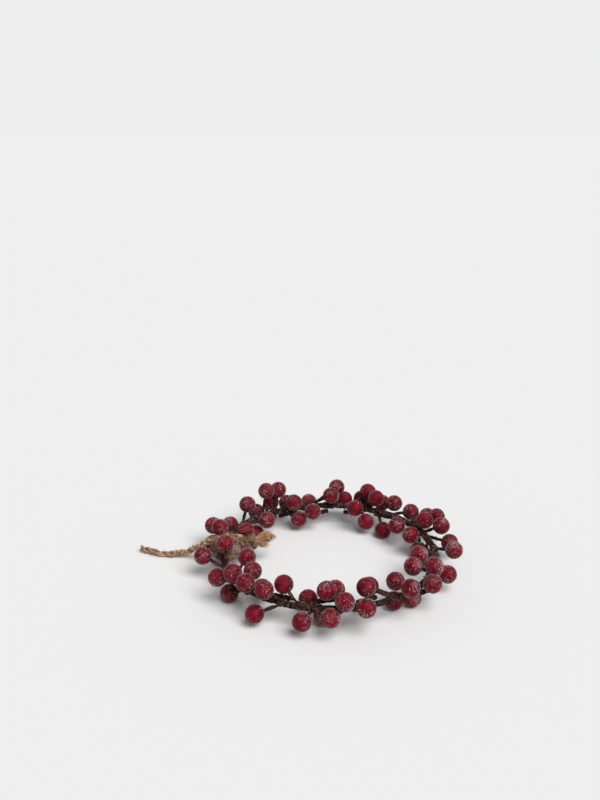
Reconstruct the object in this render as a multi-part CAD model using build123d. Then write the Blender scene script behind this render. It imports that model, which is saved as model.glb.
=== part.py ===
from build123d import *
import math
import os
import numpy as np

# Candle ring: a wire hoop dressed with sprays of frosted berries and tied with twine.
# Millimetres and degrees. The table is at height zero and the hoop's middle is over the origin.
# Angles run anticlockwise from the right, as seen from above.

# Hoop
hoop_diameter = 114.0
hoop_height = 12.0
hoop_wire_diameter = 1.8
hoop_tape_thickness = 0.6
hoop_tape_lengths = 2

# Sprays
berry_diameter = 9.5
stem_diameter = 1.9
stem_wire_diameter = 0.7
wire_depth_in_berry = 6.5
bundle_thickness = 0.65
bundle_margin = 2.5
cut_tail_diameter = 2.6
cut_tail_length = 8.5
cut_tail_tilt = 10.0

# Twine
twine_diameter = 3.4
winding_middle = 179.0
winding_half_turns = 3
winding_gap = 0.75
knot_diameter = 9.6
knot_middle = 171.0
knot_reach = 11.2
knot_lift = 1.0
frayed_end_width = 7.6
frayed_end_length = 9.2
frayed_opening_width = 6.6
frayed_opening_length = 3.0

# Fits
fit_gap = 0.05
rest_gap = 0.3

hoop_radius = hoop_diameter / 2
hoop_wire_radius = hoop_wire_diameter / 2
tape_radius = hoop_wire_radius + fit_gap + hoop_tape_thickness
bore_radius = tape_radius + fit_gap
bundle_radius = bore_radius + bundle_thickness
stem_radius = stem_diameter / 2
cut_tail_radius = cut_tail_diameter / 2
stem_wire_radius = stem_wire_diameter / 2
berry_radius = berry_diameter / 2
twine_radius = twine_diameter / 2
knot_radius = knot_diameter / 2
winding_radius = tape_radius + rest_gap + twine_radius
winding_pitch = twine_diameter + winding_gap

# A berry that carries the ring has this in place of a height.
on_table = None
# A spray whose cut tail is hidden under the twine has this in place of a side.
no_tail = None

# Every spray holds the side of the hoop on which its cut tail lies, and its berries.
# A berry is: degrees round the hoop, berry diameters outwards and up, degrees that its stem leans.
sprays = [
    (140, [(257, 0.89, -0.32, 4), (256, -0.95, -0.11, 6), (244, -0.37, 0.84, 9),
           (238, 0.53, 0.79, 9), (235, 0.89, -0.53, 11)]),
    (175, [(228, 0.63, 0.84, 9), (223, -0.95, -0.26, 9), (211, 0.32, on_table, 12),
           (218, 0.53, 0.89, 9), (216, -0.89, 0.37, 8), (210, 0.95, 0.32, 9)]),
    (240, [(202, -1.11, 0.63, 8), (190, -0.11, 1.00, 12), (186, 1.11, 0.11, 14)]),
    (no_tail, [(168, 0.89, -0.26, -1), (165, 0.53, 0.61, 2), (157, 1.42, 0.16, 8),
               (160, -0.89, 0.37, 6), (149, 0.84, -0.11, 9)]),
    (210, [(140, -0.37, on_table, 8), (138, 0.53, 0.84, 11), (136, -0.95, 0.21, 9),
           (129, 0.95, -0.16, 10), (126, 0.32, 1.40, 5), (120, 0.95, 0.21, 10)]),
    (270, [(117, 0.63, 1.11, 5), (112, -0.63, 0.68, 9), (111, 0.95, -0.05, 9),
           (108.5, -0.68, -0.47, 9)]),
    (290, [(100, -0.95, 0.05, 8), (99, 0.95, -0.16, 8), (87, -0.32, 0.84, 16),
           (84, 0.63, 0.95, 15)]),
    (240, [(80, 0.84, 0.11, 9), (71, 0.95, 0.21, 9), (70, -0.89, 0.37, 9), (66, 0.47, 0.97, 10)]),
    (285, [(62, -0.84, -0.42, 7), (60, 1.11, 0.11, 8), (59, -0.11, 0.95, 9), (51, 0.68, 0.53, 8),
           (50, -0.63, on_table, 8)]),
    (310, [(39.5, 0.79, 0.32, 12), (35, -0.95, 0.16, 9), (34, 1.32, 0.21, 2), (27, 1.32, 0.53, 6)]),
    (275, [(20, 0.05, 0.89, 7), (19, -0.89, 0.16, 8), (14, 0.74, 0.79, 8), (10, 1.16, -0.11, 9),
           (16, -0.47, on_table, 9), (5.5, -0.42, -0.63, 9)]),
    (125, [(354, 0.98, 0.47, 9), (349, -0.93, 0.32, 9), (340, 0.79, -0.16, 9)]),
    (230, [(329, 0.37, 0.89, 9), (328, -0.79, 0.58, 9), (320, 0.84, 0.47, 9),
           (319, -0.32, on_table, 9)]),
    (320, [(312, -0.95, 0.26, 7), (309.5, -0.79, on_table, 7), (307, 0.63, 0.74, 8),
           (293, -1.00, 0.42, 11), (287, -0.21, 0.95, 16), (284, 0.84, 0.42, 13)]),
    (170, [(275, 0.63, 0.74, 8), (272, -1.05, 0.47, 8), (269, 0.95, 0.05, 8), (267, 0.05, 1.05, 9),
           (265, -0.53, on_table, 9)]),
]

# The free tail of the twine, from the knot over the hoop and down to the table.
tail_route = [
    (-47.5, 9.9, 15.3),
    (-54.8, 8.3, 16.3),
    (-62.5, 7.0, 15.8),
    (-69.8, 9.8, 10.4),
    (-77.5, 15.0, 3.8),
    (-87.5, 15.0, 1.8),
    (-97.0, 17.0, 1.8),
    (-105.2, 21.3, 2.9),
]
# The frayed short end points from the knot to here.
frayed_end_aim = (-30.5, 11.0, 14.5)

# The share of a run of the tail that the bend at each of its ends takes up
bend_share = 0.45

# How far the berries are eased apart
settle_rounds = 600
settled_within = 0.01
share_per_round = 0.4
tiny = 1e-9


def beside_hoop(around, out=0.0, up=0.0):
    """A point beside the hoop's centre line."""
    turn = math.radians(around)
    reach = hoop_radius + out
    return Vector(reach * math.cos(turn), reach * math.sin(turn), hoop_height + up)


def outward_at(around):
    turn = math.radians(around)
    return Vector(math.cos(turn), math.sin(turn), 0)


def onward_at(around):
    """The way along the hoop, anticlockwise."""
    turn = math.radians(around)
    return Vector(-math.sin(turn), math.cos(turn), 0)


def rod(start, way, length, radius):
    return Solid.make_cylinder(radius, length, Plane(origin=start, z_dir=way))


def round_the_hoop(radius, first, span):
    """A solid that follows the hoop from one angle through a span of degrees."""
    section = Plane(origin=beside_hoop(first), x_dir=outward_at(first), z_dir=onward_at(first))
    return revolve(section * Circle(radius), Axis.Z, span)


def cut_tail(side, last_angle):
    """Start and end of the cut tail that lies on a bundle and shows past its end."""
    turn = math.radians(side)
    away = outward_at(last_angle) * math.cos(turn) + Vector(0, 0, math.sin(turn))
    onward = onward_at(last_angle)
    off_hoop = bundle_radius - bundle_thickness / 2 + cut_tail_radius
    start = beside_hoop(last_angle) + away * off_hoop - onward * cut_tail_diameter
    tilt = math.radians(cut_tail_tilt)
    way = onward * math.cos(tilt) + away * math.sin(tilt)
    return start, start + way * (cut_tail_length + cut_tail_diameter)


def nearest_shares(start_a, along_a, start_b, along_b):
    """How far along each of two straight runs, from 0 to 1, they come nearest one another."""
    between = start_a - start_b
    aa = (along_a * along_a).sum(1)
    bb = (along_b * along_b).sum(1)
    ab = (along_a * along_b).sum(1)
    a_between = (along_a * between).sum(1)
    b_between = (along_b * between).sum(1)
    share_a = np.clip((ab * b_between - a_between * bb) / np.maximum(aa * bb - ab * ab, tiny), 0, 1)
    share_b = np.clip((ab * share_a + b_between) / np.maximum(bb, tiny), 0, 1)
    share_a = np.clip((ab * share_b - a_between) / np.maximum(aa, tiny), 0, 1)
    return share_a, share_b


def settle(centres, roots, low, fixed):
    """Eases the berries apart, until berries and stems clear each other and all that is fixed."""
    count = len(centres)
    fixed_starts = np.array([start for start, end, radius in fixed])
    fixed_ends = np.array([end for start, end, radius in fixed])
    fixed_radii = [radius for start, end, radius in fixed]
    radii = np.array([berry_radius] * count + [stem_radius] * count + fixed_radii)
    owners = np.array(list(range(count)) * 2 + [count] * len(fixed))
    first, second = np.triu_indices(len(owners), 1)
    apart = owners[first] != owners[second]
    first = first[apart]
    second = second[apart]
    room = radii[first] + radii[second] + rest_gap
    is_stem = np.arange(len(owners)) >= count
    for _ in range(settle_rounds):
        stems = centres - roots
        lengths = np.linalg.norm(stems, axis=1, keepdims=True)
        bare_starts = roots + stems / lengths * (bundle_radius + stem_radius)
        starts = np.vstack([centres, bare_starts, fixed_starts])
        alongs = np.vstack([centres, centres, fixed_ends]) - starts
        share_a, share_b = nearest_shares(starts[first], alongs[first], starts[second], alongs[second])
        near_a = starts[first] + alongs[first] * share_a[:, None]
        near_b = starts[second] + alongs[second] * share_b[:, None]
        away = near_a - near_b
        distance = np.maximum(np.linalg.norm(away, axis=1), tiny)
        lack = np.maximum(room - distance, 0)
        push = away * (lack / distance * share_per_round)[:, None]
        give_a = np.where(is_stem[first], share_a, 1)
        give_b = np.where(is_stem[second], share_b, 1)
        shift = np.zeros((count + 1, 3))
        np.add.at(shift, owners[first], push * give_a[:, None])
        np.add.at(shift, owners[second], -push * give_b[:, None])
        centres = centres + shift[:count]
        reach = np.hypot(centres[:, 0], centres[:, 1])
        out = reach - hoop_radius
        up = centres[:, 2] - hoop_height
        off_hoop = np.maximum(np.hypot(out, up), tiny)
        short = np.maximum(bundle_radius + berry_radius + rest_gap - off_hoop, 0)
        centres[:, :2] += centres[:, :2] / reach[:, None] * (short * out / off_hoop)[:, None]
        centres[:, 2] += short * up / off_hoop
        centres[:, 2] = np.where(low, berry_radius, np.maximum(centres[:, 2], berry_radius))
        if lack.max() < settled_within and short.max() < settled_within:
            break
    print("largest lack of room after settling", round(float(lack.max()), 3))
    return centres


def biarc(start, start_way, end, end_way):
    """Two arcs that leave one point and reach another along given ways."""
    chord = end - start
    ways = start_way + end_way
    quadratic = 2 * (start_way.dot(end_way) - 1)
    linear = -2 * chord.dot(ways)
    constant = chord.dot(chord)
    step = (-linear - math.sqrt(linear * linear - 4 * quadratic * constant)) / (2 * quadratic)
    middle = (start + start_way * step + end - end_way * step) * 0.5
    first = TangentArc(start, middle, tangent=start_way)
    return [first, TangentArc(middle, end, tangent=first % 1)]


def tube(path, radius):
    return sweep(Plane(origin=path @ 0, z_dir=path % 0) * Circle(radius), path)


# Layout of the twine. At the winding the ways are out from the ring, up, and along the hoop.
winding_out = outward_at(winding_middle)
winding_up = Vector(0, 0, 1)
winding_along = onward_at(winding_middle)
winding_centre = beside_hoop(winding_middle)
winding_half_length = winding_pitch * winding_half_turns / 4
knot_centre = beside_hoop(knot_middle, -knot_reach, knot_lift)
knot_low = knot_centre - winding_up * (knot_radius / 2)
frayed_way = (Vector(*frayed_end_aim) - knot_centre).normalized()
frayed_start = knot_centre + frayed_way * (knot_radius / 2)
neck_length = knot_radius / 2 + twine_radius
frayed_tip = frayed_start + frayed_way * (neck_length + frayed_end_length)


def winding_point(half_turns):
    """A point of the winding's centre line and its way there, counted from under the hoop."""
    turn = math.pi * (half_turns - 0.5)
    place = winding_out * math.cos(turn) + winding_up * math.sin(turn)
    slide = winding_half_length - winding_pitch * half_turns / 2
    point = winding_centre + place * winding_radius + winding_along * slide
    round_way = winding_up * math.cos(turn) - winding_out * math.sin(turn)
    way = round_way * (math.pi * winding_radius) - winding_along * (winding_pitch / 2)
    return point, way.normalized()


def winding_path():
    """The winding's centre line, with the bent end and the straight end that run into the knot."""
    quarters = winding_half_turns * 2
    points = [winding_point(quarter / 2) for quarter in range(quarters + 1)]
    arcs = []
    for (start, start_way), (end, end_way) in zip(points, points[1:]):
        arcs += biarc(start, start_way, end, end_way)
    first, first_way = points[0]
    last, last_way = points[-1]
    chord = first - knot_low
    leaving = chord * (2 * chord.dot(first_way) / chord.dot(chord)) - first_way
    lead_in = biarc(knot_low, leaving, first, first_way)
    lead_out = Line(last, last + last_way * knot_reach)
    return Wire([curve.edge() for curve in lead_in + arcs + [lead_out]])


def least_self_gap(path, diameter):
    """The least gap between two stretches of one tube, measured on points along it."""
    samples = 400
    points = np.array([tuple(path @ (index / samples)) for index in range(samples + 1)])
    step = path.length / samples
    skip = int(math.pi * diameter / step)
    gaps = []
    for index in range(samples - skip):
        gaps.append(np.linalg.norm(points[index + skip:] - points[index], axis=1).min() - diameter)
    return min(gaps)


def tail_path():
    """Straight runs of the twine's tail, joined by tangent arcs."""
    points = [Vector(*point) for point in tail_route]
    radii = []
    for before, corner, after in zip(points, points[1:], points[2:]):
        turn = math.radians((corner - before).get_angle(after - corner))
        shorter = min((corner - before).length, (after - corner).length)
        radii.append(bend_share * shorter / math.tan(turn / 2))
    print("tail arc radii", [round(radius, 1) for radius in radii], "twine diameter", twine_diameter)
    return FilletPolyline(*points, radius=radii)


# Layout of the sprays: where each berry would sit and where its stem leaves the hoop
wanted = []
roots = []
low = []
bundle_ends = []
cut_tails = []
for side, berries in sprays:
    for around, out, up, lean in berries:
        height = berry_radius - hoop_height if up is on_table else up * berry_diameter
        wanted.append(tuple(beside_hoop(around, out * berry_diameter, height)))
        roots.append(tuple(beside_hoop(around + lean)))
        low.append(up is on_table)
    leaving = [around + lean for around, out, up, lean in berries]
    bundle_ends.append((min(leaving) - bundle_margin, max(leaving) + bundle_margin))
    cut_tails.append([] if side is no_tail else [cut_tail(side, bundle_ends[-1][1])])

# What the berries and stems keep clear of: cut tails and twine, as straight runs with a radius
fixed = []
for tails in cut_tails:
    fixed += [(tuple(start), tuple(end), cut_tail_radius) for start, end in tails]
winding_reach = winding_along * winding_half_length
fixed.append((tuple(winding_centre - winding_reach), tuple(winding_centre + winding_reach),
              winding_radius + twine_radius))
winding_first = winding_point(0)[0]
winding_last, last_way = winding_point(winding_half_turns)
fixed.append((tuple(knot_low), tuple(winding_first), twine_radius))
fixed.append((tuple(winding_last), tuple(winding_last + last_way * knot_reach), twine_radius))
fixed.append((tuple(knot_centre), tuple(knot_centre), knot_radius))
fixed.append((tuple(frayed_start), tuple(frayed_tip), frayed_end_width / 2))
for start, end in zip(tail_route, tail_route[1:]):
    fixed.append((start, end, twine_radius))

centres = settle(np.array(wanted), np.array(roots), np.array(low), fixed)
moved = np.linalg.norm(centres - np.array(wanted), axis=1)
print("berries moved on average", round(float(moved.mean()), 2))
print("berries moved at most", round(float(moved.max()), 2))
inner_reach = np.hypot(centres[:, 0], centres[:, 1]).min() - berry_radius
print("free radius inside the berries", round(float(inner_reach), 1))


def make_berry():
    """One berry at the origin, with a blind hole for its wire from below."""
    hole_radius = stem_wire_radius + fit_gap
    hole_top = wire_depth_in_berry - berry_radius + fit_gap
    rim = -math.sqrt(berry_radius ** 2 - hole_radius ** 2)
    outline = [
        Line((0, 0, hole_top), (hole_radius, 0, hole_top)),
        Line((hole_radius, 0, hole_top), (hole_radius, 0, rim)),
        ThreePointArc((hole_radius, 0, rim), (berry_radius, 0, 0), (0, 0, berry_radius)),
        Line((0, 0, berry_radius), (0, 0, hole_top)),
    ]
    return revolve(make_face(outline), Axis.Z).solid()


def spray_pieces(berries, first_berry, tails, bundle_end):
    """The taped stems of one spray, the wires in them and the berries on the wires."""
    first_angle, last_angle = bundle_end
    rods = []
    for start, end in tails:
        rods.append(rod(start, (end - start).normalized(), (end - start).length, cut_tail_radius))
    wires = []
    wire_holes = []
    foam_berries = []
    for index, (around, out, up, lean) in enumerate(berries):
        centre = Vector(*centres[first_berry + index])
        root = beside_hoop(around + lean)
        stem_length = (centre - root).length
        way = (centre - root).normalized()
        rods.append(rod(root, way, stem_length - berry_radius - fit_gap, stem_radius))
        slant = math.sin(math.radians(way.get_angle(onward_at(around + lean))))
        wire_start = (bore_radius + stem_radius) / slant
        wire_length = stem_length - berry_radius + wire_depth_in_berry - wire_start
        wires.append(rod(root + way * wire_start, way, wire_length, stem_wire_radius))
        hole_start = root + way * (wire_start - fit_gap)
        wire_holes.append(rod(hole_start, way, wire_length, stem_wire_radius + fit_gap))
        foam_berries.append(Plane(origin=centre, z_dir=way) * berry)
    bundle = round_the_hoop(bundle_radius, first_angle, last_angle - first_angle)
    stems = bundle + rods - hoop_room - wire_holes
    return stems.solids(), wires, foam_berries


def save(name, solids):
    os.makedirs("parts", exist_ok=True)
    export_step(Compound(solids), "parts/" + name + ".step")


# Hoop: a closed wire, wrapped in lengths of paper tape, and the room that the sprays leave for it
full_turn = 360
hoop_room = round_the_hoop(bore_radius, winding_middle, full_turn)
hoop_wire = round_the_hoop(hoop_wire_radius, 0, full_turn)
save("hoop_wire", hoop_wire.solids())
tape_span = full_turn / hoop_tape_lengths
tape_lengths = []
for length in range(hoop_tape_lengths):
    wrapped = round_the_hoop(tape_radius, length * tape_span, tape_span)
    hollow = round_the_hoop(hoop_wire_radius + fit_gap, length * tape_span, tape_span)
    tape_lengths += (wrapped - hollow).solids()
save("hoop_tape", tape_lengths)

# Sprays, going clockwise from the front
berry = make_berry()
first_berry = 0
for number, (side, berries) in enumerate(sprays):
    bound = (cut_tails[number], bundle_ends[number])
    stems, wires, foam_berries = spray_pieces(berries, first_berry, *bound)
    first_berry += len(berries)
    name = "spray_" + str(number + 1).zfill(2)
    save(name + "_stems", stems)
    save(name + "_wires", wires)
    save(name + "_berries", foam_berries)

# Twine: a winding round the hoop, the long free tail, the frayed short end and the knot
winding_line = winding_path()
winding = tube(winding_line, twine_radius)
save("twine_winding", winding.solids())
print("winding least gap to itself", round(float(least_self_gap(winding_line, twine_diameter)), 2))

tail_line = tail_path()
twine_tail = tube(tail_line, twine_radius)
save("twine_tail", twine_tail.solids())
plain_volume = math.pi * twine_radius ** 2 * tail_line.length
volume_ratio = twine_tail.volume / plain_volume
print("tail length", round(tail_line.length, 1), "volume over plain volume", round(volume_ratio, 3))

neck = rod(frayed_start, frayed_way, neck_length, twine_radius)
opening_plane = Plane(origin=frayed_start + frayed_way * neck_length, z_dir=frayed_way)
opening = Solid.make_cone(twine_radius, frayed_opening_width / 2, frayed_opening_length, opening_plane)
tuft_plane = opening_plane.offset(frayed_opening_length)
tuft_length = frayed_end_length - frayed_opening_length
tuft = Solid.make_cone(frayed_opening_width / 2, frayed_end_width / 2, tuft_length, tuft_plane)
save("twine_frayed_end", (neck + opening + tuft).solids())


def socket(start, way):
    """Room in the knot for a length of twine that starts inside it."""
    return rod(start - way * fit_gap, way, knot_diameter, twine_radius + fit_gap)


knot = Pos(knot_centre) * Sphere(knot_radius)
knot -= socket(frayed_start, frayed_way)
knot -= socket(tail_line @ 0, tail_line % 0)
knot -= socket(winding_line @ 1, -(winding_line % 1))
knot -= tube(winding_line, twine_radius + fit_gap)
knot -= rod(knot_low, -(winding_line % 0), fit_gap, twine_radius + fit_gap)
save("twine_knot", knot.solids())
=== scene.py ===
# %% [markdown]
# A candle ring: a wire hoop wrapped in brown paper tape, dressed with sprays of frosted berries
# and tied with jute twine. The measured model is loaded first and never moved. Everything made
# here is dressed onto it: the solids say where each berry, stem and strand lies, and Blender
# gives them the frost, the wrapped tape and the fibres.

# %% Load the measured model
import math
import random

import bpy
import numpy as np
from mathutils import Matrix, Vector


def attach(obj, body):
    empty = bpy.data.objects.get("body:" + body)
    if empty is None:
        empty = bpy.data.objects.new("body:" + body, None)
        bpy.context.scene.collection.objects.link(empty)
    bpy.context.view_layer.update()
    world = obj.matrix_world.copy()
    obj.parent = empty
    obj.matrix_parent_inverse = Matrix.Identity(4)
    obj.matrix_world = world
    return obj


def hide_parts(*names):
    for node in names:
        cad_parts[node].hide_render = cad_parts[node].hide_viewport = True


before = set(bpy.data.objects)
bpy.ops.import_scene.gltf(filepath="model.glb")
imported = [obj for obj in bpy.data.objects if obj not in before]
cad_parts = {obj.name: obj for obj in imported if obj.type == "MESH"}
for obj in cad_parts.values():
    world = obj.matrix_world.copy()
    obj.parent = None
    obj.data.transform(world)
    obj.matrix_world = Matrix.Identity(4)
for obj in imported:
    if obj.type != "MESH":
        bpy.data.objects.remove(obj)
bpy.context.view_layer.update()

bpy.context.scene.view_settings.view_transform = "Standard"
mm = 0.001
print("nodes in the frame:", len(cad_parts))

# %% [markdown]
# The camera comes first, because the cord is judged from it. It stands above the table and looks
# down at the ring by about nineteen degrees. The ring sits low in a tall picture, so the camera
# is aimed over it instead of being shifted.

# %% The camera
camera_place = (-0.0156, -0.4274, 0.2429)
camera_pitch_down = 18.73
bpy.ops.object.select_all(action="DESELECT")
bpy.ops.object.camera_add(location=camera_place, rotation=(math.radians(90 - camera_pitch_down), 0, 0))
camera = bpy.context.object
camera.data.lens = 40
camera.data.sensor_width = 36
bpy.context.scene.camera = camera
print("camera at", camera_place)

# %% [markdown]
# The twine is three yarns twisted together. A rope can be a textured tube, but then its outline
# is dead straight. Here each yarn is a tube of its own that winds round the route, so the twist
# shows in the outline too. The route is a smooth curve, and its points are read back from it.

# %% Reading points along a smooth route
def smooth_route(name, points, resolution=12):
    """Points along a smooth curve that is led by a few control points."""
    curve = bpy.data.curves.new(name, "CURVE")
    curve.dimensions = "3D"
    curve.resolution_u = resolution
    spline = curve.splines.new("NURBS")
    spline.points.add(len(points) - 1)
    for spot, point in zip(spline.points, points):
        spot.co = (*point, 1)
    spline.order_u = 3
    spline.use_endpoint_u = True
    guide = bpy.data.objects.new(name, curve)
    line = bpy.data.meshes.new_from_object(guide)
    found = np.array([vertex.co for vertex in line.vertices])
    bpy.data.objects.remove(guide)
    bpy.data.meshes.remove(line)
    bpy.data.curves.remove(curve)
    return found


def evenly(points, step):
    """The same line with its points a given step apart."""
    lengths = np.concatenate([[0], np.cumsum(np.linalg.norm(np.diff(points, axis=0), axis=1))])
    marks = np.linspace(0, lengths[-1], max(3, int(lengths[-1] / step) + 1))
    return np.stack([np.interp(marks, lengths, points[:, axis]) for axis in range(3)], 1)


# No route sets out in this direction.
aslant = (0.3, 0.2, 0.93)


def sideways(points):
    """Two directions across a line at each of its points, carried along it without twisting."""
    ways = np.gradient(points, axis=0)
    ways /= np.linalg.norm(ways, axis=1, keepdims=True)
    across = np.zeros_like(points)
    first = np.cross(ways[0], aslant)
    across[0] = first / np.linalg.norm(first)
    for index in range(1, len(points)):
        carried = across[index - 1] - ways[index] * np.dot(across[index - 1], ways[index])
        across[index] = carried / np.linalg.norm(carried)
    return across, np.cross(ways, across)


corner = [(0, 0, 0), (10 * mm, 0, 0), (10 * mm, 10 * mm, 0)]
print("a corner of three points becomes a curve of", len(smooth_route("corner", corner)), "points")

# %% [markdown]
# A line becomes a tube by a curve with a bevel, which is then made a mesh. The tube has a map that
# runs along it and round it, which carries the streaks and the wound tape. The finished tubes of
# a piece are joined, and the piece then stands for its node.

# %% Tubes along a line
def tube_object(name, lines, radius, detail=2):
    """One mesh of round tubes along lines, of one radius or of a list of radii for each line."""
    curve = bpy.data.curves.new(name, "CURVE")
    curve.dimensions = "3D"
    curve.bevel_depth = 1.0
    curve.bevel_resolution = detail
    curve.use_fill_caps = True
    for index, line in enumerate(lines):
        spline = curve.splines.new("POLY")
        spline.points.add(len(line) - 1)
        widths = radius[index] if isinstance(radius, list) else radius
        for spot, point, width in zip(spline.points, line, np.broadcast_to(widths, len(line))):
            spot.co = (*point, 1)
            spot.radius = width
        spline.use_smooth = True
    tube = bpy.data.objects.new(name, curve)
    bpy.context.scene.collection.objects.link(tube)
    bpy.ops.object.select_all(action="DESELECT")
    tube.select_set(True)
    bpy.context.view_layer.objects.active = tube
    bpy.ops.object.convert(target="MESH")
    return bpy.context.object


def joined(name, objects):
    """Several mesh objects as one piece."""
    bpy.ops.object.select_all(action="DESELECT")
    for part in objects:
        part.select_set(True)
    bpy.context.view_layer.objects.active = objects[0]
    if len(objects) > 1:
        bpy.ops.object.join()
    piece = bpy.context.view_layer.objects.active
    piece.name = name
    piece.data.name = name
    return piece


def dressed(piece, node):
    """Lets a finished piece stand for a node of the measured model."""
    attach(piece, "root")
    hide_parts(node)
    return piece


print("nodes to dress:", sum(not name.endswith(("_wire", "_wires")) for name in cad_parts))

# %% [markdown]
# Jute is a bast fibre: long dull straw-brown strands with paler and darker streaks along them.
# The streaks follow the yarn, so the finish reads the tube's own map, stretched along its length.
# The twine is darker and redder where it is wound and knotted: a browner twine, with painted shade
# and painted red light from the berries round it. The frayed end is more orange, and paler where light
# is painted on its top.

# %% Jute finish
def new_finish(name):
    """An empty node material with its main shader."""
    finish = bpy.data.materials.new(name)
    finish.use_nodes = True
    nodes = finish.node_tree.nodes
    return finish, nodes, finish.node_tree.links, nodes["Principled BSDF"]


def noise_at(nodes, links, place, scale, detail=2):
    """Noise over a piece, read on its map or at its object coordinates."""
    noise = nodes.new("ShaderNodeTexNoise")
    noise.inputs["Scale"].default_value = scale
    noise.inputs["Detail"].default_value = detail
    links.new(place, noise.inputs["Vector"])
    return noise.outputs["Fac"]


def roughened(nodes, links, shader, height, strength, distance):
    """Gives a finish a rough surface by a bump map."""
    bump = nodes.new("ShaderNodeBump")
    bump.inputs["Strength"].default_value = strength
    bump.inputs["Distance"].default_value = distance
    links.new(height, bump.inputs["Height"])
    links.new(bump.outputs["Normal"], shader.inputs["Normal"])


def colour_steps(nodes, links, factor, stops):
    """Colours picked by a factor from a ramp of (position, colour) pairs."""
    ramp = nodes.new("ShaderNodeValToRGB")
    elements = ramp.color_ramp.elements
    while len(elements) < len(stops):
        elements.new(0.5)
    for element, (position, colour) in zip(elements, stops):
        element.position = position
        element.color = (*colour, 1)
    links.new(factor, ramp.inputs["Fac"])
    return ramp.outputs["Color"]


def jute_finish(name, dark, plain, pale):
    """Fibrous jute in three shades, streaked along the yarn and patchy from place to place."""
    finish, nodes, links, shader = new_finish(name)
    coordinates = nodes.new("ShaderNodeTexCoord")
    stretch = nodes.new("ShaderNodeMapping")
    stretch.inputs["Scale"].default_value = (4, 2, 1)
    links.new(coordinates.outputs["UV"], stretch.inputs["Vector"])
    streaks = noise_at(nodes, links, stretch.outputs["Vector"], scale=5, detail=6)
    patches = noise_at(nodes, links, coordinates.outputs["Object"], scale=650, detail=3)
    blend = nodes.new("ShaderNodeMix")
    blend.inputs["Factor"].default_value = 0.6
    links.new(streaks, blend.inputs["A"])
    links.new(patches, blend.inputs["B"])
    shades = [(0.38, dark), (0.5, plain), (0.62, pale)]
    straw = colour_steps(nodes, links, blend.outputs["Result"], shades)
    links.new(straw, shader.inputs["Base Color"])
    roughened(nodes, links, shader, streaks, strength=0.7, distance=0.3 * mm)
    shader.inputs["Roughness"].default_value = 0.85
    shader.inputs["Sheen Weight"].default_value = 0.2
    shader.inputs["Sheen Roughness"].default_value = 0.6
    return finish


jute = jute_finish("jute", (0.1, 0.047, 0.022), (0.36, 0.2, 0.105), (0.74, 0.48, 0.29))
# Darker, redder jute for the winding and knot: partly a browner twine, partly painted shade and painted
# red light from the berries round them.
brown_painted_shade_jute = jute_finish("brown_painted_shade_jute", (0.04, 0.016, 0.008), (0.2, 0.095, 0.045), (0.5, 0.29, 0.16))
# Paler, more orange jute for the frayed end: the orange is its own tone, the paler shades are painted
# light on the top of the tuft.
orange_painted_lit_jute = jute_finish("orange_painted_lit_jute", (0.16, 0.06, 0.018), (0.5, 0.25, 0.1), (0.9, 0.56, 0.32))
print("finishes made:", jute.name, brown_painted_shade_jute.name, orange_painted_lit_jute.name)

# %% [markdown]
# Three yarns wind round the route of the twine, and each yarn is a bundle of thin strands twisted
# the other way. A bump map could hint at the strands. Real ones leave the dark gaps of spun jute.

# %% Twine: yarns and strands
yarn_count = 3
yarn_step = 0.5 * mm
yarn_offset = 0.92 * mm
yarn_wander = (0.3, 0.8)
yarn_unevenness = 0.12
uneven_length = 4.3 * mm
twist_length = 11 * mm


def yarn_lines(route, chance):
    """The lines of the yarns that twist round a route, slightly uneven as spun jute is."""
    route = evenly(route, yarn_step)
    across, over = sideways(route)
    along = np.arange(len(route)) * yarn_step
    lines = []
    for yarn in range(yarn_count):
        start = yarn * math.tau / yarn_count
        wander = chance.uniform(*yarn_wander)
        turn = start + along / twist_length * math.tau + wander * np.sin(along / twist_length + start)
        offset = yarn_offset * (1 + yarn_unevenness * np.sin(along / uneven_length + 2 * start))
        sway = across * np.cos(turn)[:, None] + over * np.sin(turn)[:, None]
        lines.append(route + sway * offset[:, None])
    return lines


strand_count = 7
strand_offset = 0.52 * mm
strand_unevenness = 0.28
strand_twist = 16 * mm


def strand_lines(yarn, chance):
    """The thin strands of one yarn, twisted round it, each wandering a little."""
    across, over = sideways(yarn)
    along = np.arange(len(yarn)) * yarn_step
    lines = []
    for strand in range(strand_count):
        start = strand * math.tau / strand_count + chance.uniform(-0.3, 0.3)
        turn = start - along / strand_twist * math.tau
        wander = np.sin(along / (chance.uniform(1.2, 3.5) * mm) + chance.uniform(0, math.tau))
        offset = strand_offset * (1 + strand_unevenness * wander)
        sway = across * np.cos(turn)[:, None] + over * np.sin(turn)[:, None]
        lines.append(yarn + sway * offset[:, None])
    return lines


print("strands in the twine:", yarn_count * strand_count)

# %% [markdown]
# Jute is hairy. Short fibres start on the yarns, run along them and lift off, each in its own
# direction. A particle system gives hair that is no mesh, so here each hair is a thin tube.

# %% Twine: loose hairs
def any_way(chance):
    """A direction picked by chance."""
    return Vector((chance.gauss(0, 1), chance.gauss(0, 1), chance.gauss(0, 1))).normalized()


yarn_radius = 0.8 * mm
hair_radius = 0.045 * mm
hair_shares = (0, 0.3, 0.65, 1)
hair_end_share = 10


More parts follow.
